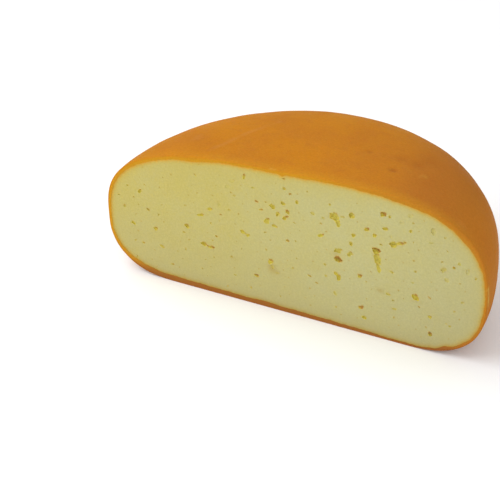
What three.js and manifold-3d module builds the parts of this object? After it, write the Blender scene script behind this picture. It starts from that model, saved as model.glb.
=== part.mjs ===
// Half a wheel of semi-soft cheese in an orange coat, standing on its foot with the cut face to the front.
// Millimetres, +Z up, X along the cut, the cut face looking along -Y.
// The origin is under the middle of the piece, on the surface that it stands on.
import * as THREE from "three";
import { mergeVertices } from "three/addons/utils/BufferGeometryUtils.js";
import Module from "manifold-3d";

// Wheel: widest at the equator, flat under the foot, softly rounded over the shoulder
const WHEEL_RADIUS = 125;
const FOOT_RADIUS = 76;
const EQUATOR_HEIGHT = 39.7;
const WHEEL_HEIGHT = 100.6;
const LEAN = 0.0424; // the crown climbs by this share of the way along the cut

// Superellipse powers: 2 is an ellipse, more is squarer
const CORNER_POWER = 2.53;
const SHOULDER_POWER_OUT = 3.42;
const SHOULDER_POWER_UP = 2.78;

// Coat: its cut edge stands a little proud of the paste
const COAT_THICKNESS = 3;
const COAT_TAPER = 0.024; // under the foot it thickens by this share of the way to -X
const COAT_LIP = 0.4;

// Facets
const TURN_STEPS = 88;
const CORNER_STEPS = 8;
const SHOULDER_STEPS = 15;

// The largest eyes on the cut face: [along the cut, height, length, width, tilt in degrees]
const MAIN_EYES = [
  [31.2, 78.0, 6.0, 4.0, -50],
  [33.5, 74.4, 4.0, 2.4, -65],
  [42.1, 81.7, 3.6, 3.2, 90],
  [61.0, 87.3, 4.2, 3.0, 25],
  [51.7, 74.7, 3.4, 1.9, 35],
  [62.7, 78.2, 3.2, 2.3, 15],
  [56.4, 71.9, 2.6, 2.2, 90],
  [43.3, 68.6, 2.5, 2.3, 45],
  [42.2, 62.2, 2.6, 2.2, 90],
  [23.2, 63.0, 3.9, 2.0, 30],
  [33.8, 55.5, 5.0, 3.0, 20],
  [34.0, 49.0, 4.6, 3.8, 0],
  [41.4, 54.8, 3.4, 2.3, 50],
  [57.7, 61.9, 4.4, 4.0, 0],
  [58.5, 56.1, 5.6, 3.6, -80],
  [59.2, 50.3, 6.0, 1.8, -75],
  [67.7, 69.0, 4.6, 3.4, 0],
  [72.0, 70.6, 5.4, 1.6, 18],
  [32.8, 38.5, 2.8, 2.2, -30],
  [34.6, 36.1, 4.2, 2.8, 80],
  [47.9, 41.3, 2.8, 1.9, 40],
  [82.8, 36.1, 4.6, 3.4, -60],
  [49.3, 18.7, 3.8, 1.9, 35],
  [51.7, 11.8, 3.4, 2.0, 0],
  [92.9, 12.9, 3.2, 2.4, 90],
  [98.3, 60.1, 3.4, 2.4, 70],
  [-26.5, 90.7, 3.6, 1.8, 75],
  [-8.2, 74.8, 4.2, 3.0, -45],
  [-1.7, 78.7, 3.0, 2.4, 0],
  [1.5, 73.6, 3.4, 2.3, -60],
  [-0.6, 68.6, 2.8, 2.2, 60],
  [-4.8, 70.2, 3.2, 2.2, 60],
  [-12.1, 63.8, 4.0, 2.9, 60],
  [-7.1, 61.5, 3.0, 1.8, 0],
  [-50.7, 62.1, 3.5, 2.0, 30],
  [-57.1, 56.1, 4.4, 2.0, 15],
  [-28.7, 51.7, 3.2, 2.3, -20],
  [-25.0, 49.9, 2.4, 1.9, 0],
  [-10.2, 34.8, 4.0, 3.2, 60],
  [-19.8, 21.9, 2.8, 2.0, 10],
  [-55.8, 35.2, 4.2, 2.8, -20],
  [-50.7, 34.2, 4.6, 2.0, 10],
  [-67.5, 45.4, 3.4, 2.5, -60],
];
const MAIN_EYE_DETAIL = 2;

// Small eyes: spread evenly over the rest of the cut face by two steady steps, one for each way
const SMALL_EYE_TRIES = 64;
const STEP_ALONG = 0.7548776662;
const STEP_UP = 0.569840291;
const STEP_SIZE = 0.6180339887;
const SMALL_EYE_LEAST = 1.2;
const SMALL_EYE_MOST = 2.4;
const SMALL_EYE_SLIMNESS = 0.62;
const SMALL_EYE_DETAIL = 1;
const EYE_FREE_RIM = 7; // paste under the coat that holds no eye
const EYE_SPACING = 4.5; // least distance from a small eye to a main one

const EYE_DEPTH_SHARE = 0.75; // of an eye's width, from the cut face inwards
const EYE_ROUGHNESS = 0.16;

const wasm = await Module();
wasm.setup();

// A closed geometry as a solid that can be joined and cut
function solidOf(geometry) {
  const bare = new THREE.BufferGeometry();
  bare.setAttribute("position", geometry.getAttribute("position"));
  if (geometry.index) bare.setIndex(geometry.index);
  const merged = mergeVertices(bare, 1e-4);
  const corners = merged.index.array;
  const triangles = [];
  for (let i = 0; i < corners.length; i += 3) {
    const [a, b, c] = corners.subarray(i, i + 3);
    if (a !== b && b !== c && c !== a) triangles.push(a, b, c);
  }
  return new wasm.Manifold(
    new wasm.Mesh({
      numProp: 3,
      vertProperties: merged.getAttribute("position").array,
      triVerts: new Uint32Array(triangles),
    }),
  );
}

function geometryOf(solid) {
  const { vertProperties, triVerts } = solid.getMesh();
  const geometry = new THREE.BufferGeometry();
  geometry.setAttribute("position", new THREE.BufferAttribute(vertProperties, 3));
  geometry.setIndex(new THREE.BufferAttribute(triVerts, 1));
  return geometry;
}

// Moves each vertex of a geometry by a rule
function reshape(geometry, rule) {
  const place = geometry.getAttribute("position");
  const point = new THREE.Vector3();
  for (let i = 0; i < place.count; i++) {
    rule(point.fromBufferAttribute(place, i));
    place.setXYZ(i, point.x, point.y, point.z);
  }
  return geometry;
}

// Half the upright section of the wheel, from the middle of the foot round to the middle of the crown
function meridian(inset) {
  const points = [new THREE.Vector2(0, inset)];
  for (let i = 0; i <= CORNER_STEPS; i++) {
    const angle = ((i / CORNER_STEPS) * Math.PI) / 2;
    const out = (WHEEL_RADIUS - FOOT_RADIUS - inset) * Math.sin(angle) ** (2 / CORNER_POWER);
    const down = (EQUATOR_HEIGHT - inset) * Math.cos(angle) ** (2 / CORNER_POWER);
    points.push(new THREE.Vector2(FOOT_RADIUS + out, EQUATOR_HEIGHT - down));
  }
  for (let i = 1; i < SHOULDER_STEPS; i++) {
    const angle = ((i / SHOULDER_STEPS) * Math.PI) / 2;
    const out = (WHEEL_RADIUS - inset) * Math.cos(angle) ** (2 / SHOULDER_POWER_OUT);
    const up = (WHEEL_HEIGHT - EQUATOR_HEIGHT - inset) * Math.sin(angle) ** (2 / SHOULDER_POWER_UP);
    points.push(new THREE.Vector2(out, EQUATOR_HEIGHT + up));
  }
  points.push(new THREE.Vector2(0, WHEEL_HEIGHT - inset));
  return points;
}

// The whole wheel, or its paste when inset by the coat, leaning along X
function wheel(inset) {
  const turned = new THREE.LatheGeometry(meridian(inset), TURN_STEPS);
  turned.rotateX(Math.PI / 2);
  return solidOf(
    reshape(turned, (point) => {
      const low = Math.max(0, 1 - point.z / EQUATOR_HEIGHT);
      if (inset > 0) point.z -= COAT_TAPER * point.x * low;
      point.z *= 1 + (LEAN * point.x) / WHEEL_HEIGHT;
    }),
  );
}

// A block that fills y from one depth to another across the whole wheel
function slab(front, back) {
  const block = new THREE.BoxGeometry(4 * WHEEL_RADIUS, back - front, 4 * WHEEL_HEIGHT);
  block.translate(0, (front + back) / 2, 0);
  return solidOf(block);
}

// Half the width of the paste at a height, on the cut face
function pasteReach(height) {
  const above = height > EQUATOR_HEIGHT;
  const rise = above
    ? (height - EQUATOR_HEIGHT) / (WHEEL_HEIGHT - EQUATOR_HEIGHT)
    : (EQUATOR_HEIGHT - height) / EQUATOR_HEIGHT;
  const power = above ? SHOULDER_POWER_UP : CORNER_POWER;
  const powerOut = above ? SHOULDER_POWER_OUT : CORNER_POWER;
  const share = Math.max(0, 1 - rise ** power) ** (1 / powerOut);
  const foot = above ? 0 : FOOT_RADIUS;
  return foot + (WHEEL_RADIUS - foot) * share;
}

// An irregular pocket on the cut face, longer one way than the other
function eye(along, height, length, width, tilt, detail) {
  const pocket = new THREE.IcosahedronGeometry(1, detail);
  reshape(pocket, (point) => {
    const ripple = Math.sin(3.1 * point.x + along) * Math.sin(2.7 * point.z + height);
    const fold = Math.sin(4.3 * point.z - length * point.x + 2 * along);
    point.multiplyScalar(1 + EYE_ROUGHNESS * (ripple + fold));
  });
  pocket.scale(length / 2, width * EYE_DEPTH_SHARE, width / 2);
  pocket.rotateY(THREE.MathUtils.degToRad(-tilt));
  pocket.translate(along, COAT_LIP, height);
  return solidOf(pocket);
}

const share = (steps) => steps - Math.floor(steps);

// Places of the small eyes that lie inside the paste and clear of the main eyes
function smallEyes() {
  const found = [];
  for (let n = 1; n <= SMALL_EYE_TRIES; n++) {
    const along = (2 * share(n * STEP_ALONG) - 1) * WHEEL_RADIUS;
    const height = share(n * STEP_UP) * WHEEL_HEIGHT;
    const inside =
      height > EYE_FREE_RIM &&
      height < WHEEL_HEIGHT - EYE_FREE_RIM &&
      Math.abs(along) < pasteReach(height) - EYE_FREE_RIM;
    const clear = MAIN_EYES.every(([x, z]) => Math.hypot(x - along, z - height) > EYE_SPACING);
    const length = THREE.MathUtils.lerp(SMALL_EYE_LEAST, SMALL_EYE_MOST, share(n * STEP_SIZE) ** 2);
    const tilt = 180 * share(n * STEP_SIZE + height);
    if (inside && clear) found.push([along, height, length, length * SMALL_EYE_SLIMNESS, tilt]);
  }
  return found;
}

const knife = slab(-2 * WHEEL_RADIUS, 0);
const lip = wheel(COAT_THICKNESS).intersect(slab(-1, COAT_LIP));
const pockets = [
  ...MAIN_EYES.map((place) => eye(...place, MAIN_EYE_DETAIL)),
  ...smallEyes().map((place) => eye(...place, SMALL_EYE_DETAIL)),
].reduce((all, pocket) => all.add(pocket));

const cheese = geometryOf(wheel(0).subtract(knife).subtract(lip).subtract(pockets));
cheese.translate(0, -WHEEL_RADIUS / 2, 0);
cheese.computeVertexNormals();

const halfWheel = new THREE.Mesh(
  cheese,
  new THREE.MeshStandardMaterial({ color: 0xc88028, roughness: 0.45, metalness: 0 }),
);
halfWheel.name = "half_wheel";

const part = new THREE.Group();
part.add(halfWheel);
export default part;
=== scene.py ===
"""Half a wheel of semi-soft cheese in an orange coat, standing on its foot with the cut face to the front.

The coat is a shell turned half way round. The paste is the wheel inside it, cut by a knife and pitted
with eyes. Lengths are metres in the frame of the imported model: X along the cut, Y from the cut face
inwards, Z up.
"""
import math
from operator import attrgetter

import bpy
from bpy.props import FloatProperty, FloatVectorProperty, IntProperty, PointerProperty
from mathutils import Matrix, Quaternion, Vector


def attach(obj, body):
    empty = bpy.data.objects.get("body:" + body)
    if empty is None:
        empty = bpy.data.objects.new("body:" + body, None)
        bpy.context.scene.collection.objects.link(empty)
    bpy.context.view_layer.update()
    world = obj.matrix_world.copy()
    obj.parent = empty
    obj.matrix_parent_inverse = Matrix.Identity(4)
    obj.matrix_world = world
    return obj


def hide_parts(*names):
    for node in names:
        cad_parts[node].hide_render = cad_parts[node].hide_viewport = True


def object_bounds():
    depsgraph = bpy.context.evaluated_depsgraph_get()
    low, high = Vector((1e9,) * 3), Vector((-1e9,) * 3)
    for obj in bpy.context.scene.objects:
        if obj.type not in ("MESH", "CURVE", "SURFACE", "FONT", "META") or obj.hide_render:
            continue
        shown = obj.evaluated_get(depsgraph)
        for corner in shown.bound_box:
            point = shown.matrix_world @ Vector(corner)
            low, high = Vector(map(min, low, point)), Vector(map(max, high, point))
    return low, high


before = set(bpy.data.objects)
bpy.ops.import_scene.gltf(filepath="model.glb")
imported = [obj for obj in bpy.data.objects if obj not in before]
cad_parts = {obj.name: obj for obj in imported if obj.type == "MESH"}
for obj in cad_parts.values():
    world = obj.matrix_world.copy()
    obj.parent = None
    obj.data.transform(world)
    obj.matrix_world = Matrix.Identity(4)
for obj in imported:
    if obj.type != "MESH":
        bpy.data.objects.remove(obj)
CAD_LOW, CAD_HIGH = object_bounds()

bl_info = {
    "name": "Half Wheel of Cheese",
    "version": (1, 0, 0),
    "blender": (4, 5, 0),
    "location": "View3D > Sidebar > Cheese",
    "description": "Builds half a wheel of semi-soft cheese: its coat, its paste with eyes, and a stage",
    "category": "Add Mesh",
}

NODE = "half_wheel"
BODY = "root"
MM = 0.001
WHEEL_RADIUS = (CAD_HIGH.x - CAD_LOW.x) / 2
CUT_Y = CAD_LOW.y

# Points of the wheel's half section, and the shares of them that draw the foot and the lower corner
MERIDIAN_POINTS = 400
FOOT_SHARE = 0.2
CORNER_SHARE = 0.3

# Meshes: the coat's columns go over the outside, across a cut, back along the inside and across the other cut
OUTSIDE_COLUMNS = 240
CUT_COLUMNS = 8
INSIDE_COLUMNS = 64
COAT_ROWS = 190
COAT_SHARP_ANGLE = 50.0
PASTE_COLUMNS = 120
PASTE_ROWS = 80
PASTE_SHARP_ANGLE = 45.0
MERGE_DISTANCE = 1e-5

# Thickness of the coat: its waves as (scale, share of the thickness), how far along X the foot's taper grows
# and fades, and between which heights the +X end is thinner
THICKNESS_WAVES = ((60.0, 0.6), (280.0, 0.5))
FULL_TAPER_X = 0.045
TAPER_FADE = (0.075, 0.105)
THIN_END_FROM = (0.003, 0.016)
THIN_END_TO = (0.038, 0.068)
THIN_END_POWER = 4.0

# Places on the cut where the coat is thicker, or thinner where the growth is below nought, in millimetres:
# (along the cut, height, radius, growth)
COAT_SWELLS = (
    (-63.0, 98.0, 9.0, 0.85),
    (-37.0, 100.0, 12.0, -0.55),
    (-19.0, 100.4, 10.0, -0.5),
    (-1.8, 100.6, 1.4, 1.3),
    (25.0, 100.5, 14.0, -0.6),
    (42.0, 99.6, 7.0, -0.5),
    (92.0, 92.5, 6.0, -0.85),
    (112.0, 79.0, 6.0, 0.85),
    (124.0, 58.0, 7.0, -0.55),
    (124.0, 28.0, 10.0, 0.7),
    (110.0, 8.0, 3.0, -0.4),
    (104.8, 4.8, 2.4, 0.7),
    (98.5, 2.5, 4.0, -0.6),
    (93.0, 1.0, 6.0, -0.6),
    (76.0, 0.0, 8.0, 0.3),
    (56.0, 0.0, 7.0, 0.45),
    (46.0, 0.0, 12.0, 0.85),
    (30.0, 0.0, 12.0, 0.8),
    (8.0, 0.0, 12.0, 1.0),
    (-15.0, 0.0, 9.0, 1.15),
)

# The coat's outside: its rounded cut edge, the heights over which it leaves the flat foot, and its soft waves
EDGE_ROUND_SHARE = 0.35
EDGE_ROUND_REACH = 0.0015
FOOT_EDGE = (0.001, 0.012)
LONG_WAVES = 26.0
SHORT_WAVES = 90.0
SHORT_WAVE_SHARE = 0.25

# Marks in the coat, in millimetres: (x, y from the cut, height, radius, depth). A raised one has a depth
# below nought.
PRESS_MARKS = (
    (56.5, 27.1, 100.9, 2.2, 0.85),
    (36.2, 40.9, 100.8, 2.2, 0.55),
    (55.7, 42.8, 99.7, 4.5, 0.4),
    (66.0, 41.2, 98.6, 4.5, 0.5),
    (72.8, 30.5, 98.7, 3.0, -0.35),
    (70.0, 52.0, 95.0, 8.0, 0.4),
    (20.0, 60.0, 97.0, 14.0, 0.1),
    (80.0, 27.0, 97.5, 8.0, 0.2),
    # The next mark is broad and shallow; its colour is painted shade that darkens the top at the -X end
    (-60.0, 18.0, 96.0, 15.0, 0.22),
    (-90.0, 40.0, 76.0, 9.0, 0.3),
    (-40.0, 104.0, 72.0, 12.0, 0.3),
    (52.0, 108.0, 58.0, 10.0, 0.25),
    (8.0, 122.0, 44.0, 7.0, 0.25),
    (114.0, 51.0, 48.0, 26.0, -0.7),
)

# A crease in the coat, in millimetres: the points that it runs through, its width, its height and the
# strength of its paler colour
CREASE_POINTS = (
    (-54.5, 10.8, 96.9),
    (-49.3, 19.7, 97.3),
    (-43.2, 36.5, 97.3),
    (-36.9, 47.7, 97.2),
    (-31.0, 60.0, 96.5),
)
CREASE_WIDTH = 1.5
CREASE_HEIGHT = 0.15
CREASE_PALENESS = 0.36

# Pale lines on the coat, in millimetres: (the points that each runs through, its width, strength). The first
# is a painted highlight on the outer edge of the cut at the +X end; the others are where the coat is worn
# thin.
WORN_AND_HIGHLIGHT_LINES = (
    (((124.8, 1.4, 53.5), (125.0, 2.0, 50.0), (125.0, 3.4, 42.0)), 1.4, 1.0),
    (((-9.4, 0.5, 100.3), (-6.4, 0.5, 100.4)), 0.7, 0.4),
    (((72.4, 30.3, 98.8), (74.2, 30.7, 98.5)), 2.0, 0.16),
)

# Gaps along the crease and the pale lines: the noise below which a line is weakest, and for each line (scale,
# noise above which it is whole, least strength)
GAP_NOISE = 0.35
CREASE_GAPS = (150.0, 0.6, 0.3)
LINE_GAPS = (320.0, 0.55, 0.4)

# The knife's block: its size in wheel radii, its drop below the foot, the space between its points, and the
# waves of its back
KNIFE_SIZE = (2.2, 1.2, 1.1)
KNIFE_DROP = 0.01
KNIFE_SPACING = 0.001
KNIFE_STRETCH = (1.0, 0.0, 0.35)
KNIFE_WAVES = 60.0

# The eyes on the cut face that stand out, in millimetres: (along the cut, height, length, width, tilt in
# degrees, gloom). More gloom makes an eye deeper and paints more brown shade on its shaded wall. Eyes that
# run into each other are neighbours in the list, and neighbours are cut in different sets.
LISTED_EYES = (
    (31.2, 77.9, 6.6, 4.8, -50, 0.43),
    (33.6, 74.3, 4.6, 2.8, -65, 0.45),
    (42.1, 81.7, 4.0, 3.6, 90, 0.48),
    (61.0, 87.3, 4.4, 3.2, 25, 0.66),
    (51.7, 74.7, 3.8, 2.2, 35, 0.62),
    (62.7, 78.2, 3.2, 2.3, 15, 0.5),
    (56.4, 71.9, 2.6, 2.2, 90, 0.5),
    (43.3, 68.6, 2.5, 2.3, 45, 0.5),
    (42.2, 62.2, 2.6, 2.2, 90, 0.44),
    (23.2, 63.0, 3.9, 2.0, 30, 0.5),
    (33.9, 55.4, 5.4, 3.4, 20, 0.4),
    (34.0, 49.0, 4.6, 4.0, 0, 0.74),
    (41.4, 54.8, 3.8, 2.6, 50, 0.4),
    (57.7, 61.6, 5.0, 4.8, 60, 0.65),
    (58.6, 56.0, 7.4, 4.4, -80, 0.42),
    (59.4, 50.2, 7.4, 2.4, -75, 0.45),
    (67.9, 68.9, 5.4, 4.0, 10, 0.45),
    (71.6, 70.6, 6.4, 1.8, 18, 0.54),
    (74.6, 71.9, 2.0, 1.5, 30, 0.6),
    (32.8, 38.5, 2.8, 2.2, -30, 0.5),
    (34.6, 36.1, 4.2, 2.8, 80, 0.5),
    (47.9, 41.3, 3.0, 2.2, 40, 0.67),
    (82.8, 36.1, 5.0, 3.8, -60, 0.55),
    (49.3, 18.7, 3.8, 2.0, 35, 0.75),
    (51.5, 11.9, 3.6, 2.3, -15, 0.46),
    (92.9, 12.9, 3.0, 2.8, 90, 0.72),
    (98.4, 60.2, 3.8, 2.8, 70, 0.22),
    (-26.5, 90.7, 3.6, 1.8, 75, 0.5),
    (-8.2, 74.8, 4.2, 3.0, -45, 0.5),
    (-1.7, 78.7, 3.0, 2.4, 0, 0.44),
    (1.5, 73.6, 3.4, 2.3, -60, 0.66),
    (-0.6, 68.6, 2.8, 2.2, 60, 0.52),
    (1.0, 70.2, 2.2, 1.3, 35, 0.9),
    (-4.8, 70.2, 3.2, 2.2, 60, 0.44),
    (-12.1, 63.8, 4.0, 2.9, 60, 0.44),
    (-7.1, 61.5, 3.0, 1.8, 0, 0.5),
    (-50.7, 62.1, 3.5, 2.0, 30, 0.5),
    (-57.1, 56.1, 4.4, 2.0, 15, 0.5),
    (-28.7, 51.7, 3.2, 2.3, -20, 0.5),
    (-26.8, 50.7, 2.2, 1.2, -35, 0.5),
    (-25.0, 49.9, 2.4, 1.9, 0, 0.5),
    (-10.2, 35.0, 3.8, 2.7, 68, 0.56),
    (-19.8, 21.9, 3.0, 2.0, 10, 0.74),
    (-55.8, 35.2, 4.2, 2.8, -20, 0.62),
    (-53.2, 34.5, 2.8, 1.2, -15, 0.7),
    (-50.7, 34.2, 4.6, 2.0, 10, 0.66),
    (-67.5, 45.4, 3.4, 2.5, -60, 0.62),
    (-18.6, 75.7, 2.2, 1.2, -10, 0.9),
    (-15.7, 70.7, 2.8, 1.2, 15, 0.6),
    (-12.7, 76.7, 1.4, 1.0, 0, 0.5),
    (1.5, 53.3, 2.0, 1.6, 0, 0.7),
    (16.0, 31.9, 2.2, 1.3, -20, 0.62),
    (20.4, 28.2, 1.6, 1.0, 0, 0.6),
    (25.9, 43.0, 2.0, 1.3, 0, 0.5),
    (26.4, 35.0, 1.8, 1.4, 0, 0.4),
    (67.7, 49.7, 2.8, 1.5, -25, 0.45),
    (66.0, 33.6, 2.4, 1.5, -10, 0.45),
    (70.4, 24.2, 2.4, 1.6, 0, 0.35),
    (92.1, 25.2, 2.0, 1.8, 0, 0.55),
    (102.3, 23.3, 1.6, 1.1, -20, 0.35),
    (104.4, 22.2, 1.6, 1.3, -30, 0.45),
    (100.7, 53.6, 3.0, 2.5, -40, 0.2),
    (104.3, 63.2, 1.8, 1.6, -30, 0.6),
    (107.5, 66.7, 2.0, 1.8, 0, 0.3),
    (117.3, 59.5, 1.5, 1.4, 60, 0.4),
    (17.6, 76.8, 2.4, 1.8, 0, 0.35),
    (24.4, 75.4, 1.6, 1.3, 0, 0.4),
    (28.5, 85.4, 1.2, 1.6, 0, 0.5),
    (7.7, 81.8, 1.6, 2.4, 0, 0.5),
    (3.3, 86.3, 1.8, 1.2, 30, 0.7),
    (-0.4, 89.0, 2.0, 1.6, 0, 0.5),
    (-20.7, 84.8, 2.2, 1.4, 0, 0.4),
    (-46.9, 43.3, 1.6, 1.2, 0, 0.6),
    (-43.3, 60.0, 1.8, 0.8, 0, 0.7),
    (32.3, 24.2, 1.8, 2.8, 20, 0.25),
    (65.0, 86.9, 1.6, 2.0, 0, 0.4),
    (60.4, 66.8, 1.8, 1.2, 0, 0.5),
    (36.2, 79.2, 2.2, 1.3, 0, 0.4),
    (-36.7, 31.0, 1.2, 1.0, 0, 0.5),
    (-34.6, 17.9, 2.0, 1.4, 0, 0.3),
    (81.9, 54.2, 1.2, 1.6, 0, 0.4),
    (80.7, 46.0, 1.6, 1.2, 0, 0.3),
    (85.4, 30.2, 2.0, 0.8, -20, 0.6),
    (91.2, 38.6, 2.5, 0.7, -35, 0.6),
    (77.9, 80.7, 1.4, 2.0, 0, 0.4),
    (110.8, 41.0, 1.4, 1.2, 0, 0.4),
    (-8.9, 31.2, 3.0, 1.7, -60, 0.22),
    (-5.6, 27.7, 2.2, 1.1, -10, 0.3),
    (91.0, 83.7, 3.0, 4.2, 0, 0.13),
    (77.1, 90.6, 3.2, 2.4, 30, 0.12),
    (72.6, 84.8, 2.6, 1.6, 10, 0.14),
    (98.1, 81.7, 1.6, 1.4, 0, 0.3),
    (66.4, 73.7, 2.0, 1.8, 0, 0.12),
    (112.4, 62.8, 3.0, 3.8, 0, 0.1),
    (90.2, 76.2, 2.4, 1.3, 15, 0.2),
    (-99.6, 62.4, 3.2, 2.2, 40, 0.5),
    (-108.4, 64.6, 1.6, 1.2, 0, 0.5),
    (-94.6, 50.2, 2.4, 1.5, -20, 0.62),
    (-112.0, 48.6, 1.8, 1.4, 60, 0.45),
    (-106.4, 37.4, 3.4, 2.0, -35, 0.5),
    (-90.4, 37.2, 2.8, 2.2, 15, 0.56),
    (-100.2, 24.0, 2.0, 1.4, 0, 0.6),
    (-86.5, 24.8, 3.0, 1.6, -25, 0.5),
    (-79.4, 13.2, 2.0, 1.3, 10, 0.6),
    (-0.4, 95.6, 1.6, 1.1, 20, 0.7),
    (-34.6, 85.8, 3.6, 2.2, 15, 0.12),
    (-38.2, 81.4, 3.0, 2.4, -60, 0.1),
    (-35.6, 77.6, 1.2, 1.0, 0, 0.5),
    (-33.5, 75.8, 1.6, 1.2, 0, 0.4),
    (-37.1, 64.9, 1.8, 1.2, 0, 0.4),
    (-44.1, 67.7, 2.4, 3.4, 0, 0.1),
)
EYE_SETS = 3

# Small eyes: steady steps that spread them evenly over the cut face, and what they keep clear of
STEP_ALONG = 0.7548776662
STEP_UP = 0.569840291
STEP_SIZE = 0.6180339887
EYE_FREE_RIM = 0.007
EYE_SPACING = 0.0045
SMALL_EYE_GLOOM = 0.46

# Shape of an eye: the facets of its egg, how fast gloom deepens it, how far its middle lies in, and its jags
LISTED_EYE_DETAIL = 4
SMALL_EYE_DETAIL = 2
EYE_DEEPENING = 2.2
EYE_SINK = 0.1
EYE_JAGS = 420.0
EYE_JAG_ROUGHNESS = 0.6
EYE_NICKS = 700.0
EYE_NICK_SHARE = 0.7

# Colour of an eye: the width of a fully tinted one, the gloom from which brown shade is painted on its wall,
# how much more painted shade the smallest get, and the wall that lies in shade
FULL_TINT_WIDTH = 0.002
FULL_TINT_GLOOM = 0.5
SHADE_GLOOM = 0.35
SHADE_GAIN = 2
SMALL_EYE_SHADE = 0.6
LEAST_SHADE = 0.3
SHADED_WALL = (0.5, 0.0, 0.87)
SHADE_SOFTNESS = 0.3

# Soft tan smears on the cut face, in millimetres: (along the cut, height, half length, half height, strength)
SMEARS = (
    (-9.4, 30.5, 2.7, 3.5, 0.9),
    (-6.0, 27.9, 2.0, 1.7, 0.6),
    (33.0, 52.3, 3.6, 1.8, 0.4),
    (98.5, 60.1, 1.8, 1.5, 0.5),
    (60.8, 34.6, 2.4, 1.4, 0.75),
    (69.0, 24.0, 2.2, 1.2, 0.35),
    (84.0, 33.6, 4.0, 1.2, 0.2),
    (-36.0, 30.6, 3.0, 1.6, 0.3),
    (-19.6, 41.0, 0.3, 9.0, 0.22),
    (-17.0, 44.0, 0.3, 7.0, 0.15),
)

# Soft patches in the colours: (scale, detail, low, high), and the strength of each. The crumb is finer noise,
# the speckle is (scale, amount), and the drift and bend keep the patches from looking even.
COAT_PATCHES = (22.0, 3.0, 0.35, 0.7)
COAT_PATCH_STRENGTH = 0.55
COAT_SPECKS = (160.0, 4.0, 0.5, 0.75)
COAT_SPECK_STRENGTH = 0.4
COAT_FLECKS = (700.0, 2.0, 0.45, 0.75)
COAT_FLECK_STRENGTH = 0.08
COAT_SCUFFS = (45.0, 6.0, 0.62, 0.74)
COAT_SCUFF_STRENGTH = 0.2
PASTE_PATCHES = (40.0, 4.0, 0.3, 0.75)
PASTE_PATCH_STRENGTH = 0.3
PASTE_CURDS = (300.0, 3.0, 0.4, 0.8)
PASTE_CURD_STRENGTH = 0.2
PASTE_CRUMB = 1000.0
PASTE_CRUMB_STRENGTH = 0.4
SPECKLE = (800.0, 0.28)
MOTTLE_DRIFT = 0.6
MOTTLE_BEND = (0.01, 0.01, 0.01)

# Where the coat's colours change along X: (start, end, strength)
# Painted shade: the +X side, turned away from the key light, is darkened towards deep orange, and a little
# less again at the far end
SHADED_SIDE = (0.03, 0.085, 0.95)
SIDE_SHADE_EASING = (0.085, 0.115, 0.3)
WARM_END = (0.098, 0.12, 0.4)
# Painted shade darkens the -X shoulder
SHADED_SHOULDER = (-0.112, -0.08, 0.75)
DULL_END = (0.08, 0.118)
SHADED_EDGE = (0.01, 0.07, 0.45)
LIT_EDGE = (0.095, 0.125)
EDGE_TINT = 0.2
EDGE_TINT_MORE = (-0.08, -0.03, 0.18)
# Where they change from the cut inwards, through the coat's thickness, and up from the foot
CUT_SIDE = (0.0, 0.01)
CUT_EDGE = (0.0, 0.6)
STAINED_EDGE = (0.5, 1.0, 0.12)
# Painted shade along the foot: the coat darkens towards the floor, more so at the +X end
FOOT_SHADE = (0.002, 0.011, 0.7)
FOOT_SHADE_WIDE = (0.006, 0.024, 0.2)
END_FOOT_SHADE = (0.012, 0.04, 0.25)
DENT_STRENGTH = 1.1

# Where the paste's colours change: along X, inwards from the coat, and up from the foot
# The paste is a deeper yellow towards -X
YELLOWER_MINUS_X = (-0.07, 0.05, 0.65)
PALENESS = 0.15
FAR_END = (0.05, 0.12)
DENSE_RIM = (0.001, 0.014, 0.25)
LOW_PASTE = (0.01, 0.07)
PASTE_FOOT = (0.004, 0.016)
# Blends to tan: a band along the foot, and painted shade low down and at the +X end
FOOT_TAN = 0.35
LOW_SHADE = 0.4
FAR_SHADE = 0.3

# The coat's dye in the paste: how its edge wanders, its faint far reach, its loss at the foot, and painted
# light that lightens the dyed fringe near the top and at the +X end
RIM_WAVES = ((400.0, 2.0), (1100.0, 1.0))
RIM_WANDER = 0.0008
FAINT_DYE_REACH = 0.009
FAINT_DYE = 0.07
FOOT_DYE_LOSS = 0.22
TOP_HIGHLIGHT = (0.02, 0.09, 0.13)
FAR_HIGHLIGHT = 0.06
GREEN_HIGHLIGHT = 0.4
GREEN_LOSS = 0.27

# Surfaces: grain as (coarse scale, fine scale, share of the fine), bump heights, and roughness as (plain,
# change in the patches, change in the scuffs or eyes)
COAT_GRAIN = (240.0, 900.0, 0.4)
COAT_BUMP = 0.0003
COAT_ROUGHNESS = (0.46, 0.1, 0.15)
PASTE_GRAIN = (300.0, 1400.0, 0.5)
PASTE_BUMP = 0.00025
PASTE_ROUGHNESS = (0.55, 0.08, -0.2)
STROKES = 380.0
STROKE_STRETCH = (1.0, 1.0, 0.06)
STROKE_SHARE = 0.35
FLOOR_ROUGHNESS = 0.8

# Light within and shine: (subsurface weight, radius, scale, specular level)
COAT_FLESH = (0.15, (1.0, 0.35, 0.1), 0.002, 0.004)
PASTE_FLESH = (0.35, (1.0, 0.75, 0.3), 0.003, 0.15)

# Lights: (place, side)
KEY_LIGHT = ((-0.75, -0.3, 0.95), 1.4)
FILL_LIGHT = ((0.7, -1.1, 1.0), 0.6)

# Camera, in wheel radii from the wheel's axis on the floor at the cut
VIEW_AZIMUTH = 24.13
VIEW_ELEVATION = 33.05
VIEW_DISTANCE = 6.5
VIEW_CENTRE = (0.0, 0.35, 0.3)
VIEW_TARGET = (-0.1911, 0.0, 0.3168)
VIEW_ROLL = -1.81
FOCAL_LENGTH = 93.34


def metres(name, description, default):
    """A length that a user may change."""
    return FloatProperty(name=name, description=description, default=default, unit="LENGTH", precision=5)


def number(name, description, default):
    """A plain number that a user may change."""
    return FloatProperty(name=name, description=description, default=default, precision=4)


def colour(name, description, default):
    """A linear colour that a user may change."""
    return FloatVectorProperty(
        name=name, description=description, default=default, subtype="COLOR", size=3, min=0, max=1
    )


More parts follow.
